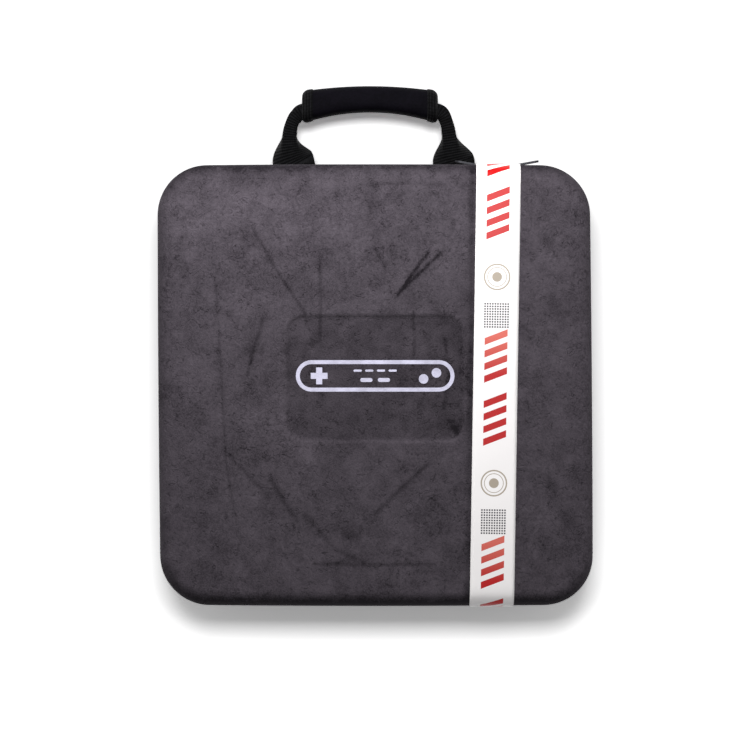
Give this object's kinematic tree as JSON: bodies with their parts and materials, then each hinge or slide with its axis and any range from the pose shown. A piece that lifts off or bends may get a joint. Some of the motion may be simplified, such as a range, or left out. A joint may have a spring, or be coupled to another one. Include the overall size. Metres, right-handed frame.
{
  "type": "carrying case",
  "caption": "Hard-shell carrying case for a game console: velour-covered halves, zip, cloth hinge, padded carry handle and foam bays inside.",
  "frame": {"origin": "middle of the back face, where the closed bag lies on the floor", "axes": "+Z out of the lid's face, +Y towards the handle, +X to the right as the lid is seen with the handle at the top"},
  "size_m": [0.38, 0.4605, 0.131],
  "materials": {
    "shell_cloth": "brushed velour bonded to moulded foam",
    "tray_foam": "closed-cell foam, cut bays",
    "zip_tape": "woven tape",
    "zip_coil": "moulded nylon coil",
    "seam_tape": "woven lining tape",
    "hinge_cloth": "heavy woven cloth",
    "handle_webbing": "ribbed nylon webbing",
    "grip_neoprene": "padded neoprene sleeve",
    "cuff_tape": "ribbed tape",
    "anchor_plastic": "moulded plate",
    "rivet_metal": "black enamel",
    "band_film": "white coated film",
    "slider_metal": "black enamel die casting"
  },
  "bodies": {
    "base": {"base_shell": "shell_cloth", "console_tray": "tray_foam", "base_zip_tape": "zip_tape", "base_zip_coil": "zip_coil", "base_seam_binding": "seam_tape", "hinge_strip": "hinge_cloth", "handle_webbing": "handle_webbing", "handle_grip": "grip_neoprene", "grip_binding_left": "cuff_tape", "grip_binding_right": "cuff_tape", "anchor_plate_left": "anchor_plastic", "anchor_plate_right": "anchor_plastic", "anchor_rivets": "rivet_metal"},
    "lid": {"lid_shell": "shell_cloth", "controller_tray": "tray_foam", "lid_zip_tape": "zip_tape", "lid_zip_coil": "zip_coil", "lid_seam_binding": "seam_tape", "front_band": "band_film"},
    "slider_left": {"zip_slider_left": "slider_metal"},
    "slider_right": {"zip_slider_right": "slider_metal"},
    "pull_left": {"zip_pull_left": "slider_metal"},
    "pull_right": {"zip_pull_right": "slider_metal"}
  },
  "joints": [
    {"name": "lid_hinge", "type": "hinge", "parent": "base", "child": "lid", "pos_m": [0, -0.1937, 0.065], "axis": [1, 0, 0], "range_deg": [0, 178], "deforming": ["hinge_strip"]},
    {"name": "slider_left_run", "type": "slide", "parent": "base", "child": "slider_left", "axis": [-1, 0, 0], "range_m": [0, 0.225]},
    {"name": "slider_right_run", "type": "slide", "parent": "base", "child": "slider_right", "axis": [1, 0, 0], "range_m": [0, 0.02]},
    {"name": "pull_left_turn", "type": "hinge", "parent": "slider_left", "child": "pull_left", "pos_m": [0.1, 0.19201, 0.065], "axis": [0, 0, -1], "range_deg": [-8, 85]},
    {"name": "pull_right_turn", "type": "hinge", "parent": "slider_right", "child": "pull_right", "pos_m": [0.1145, 0.19201, 0.065], "axis": [0, 0, 1], "range_deg": [-8, 85]}
  ]
}
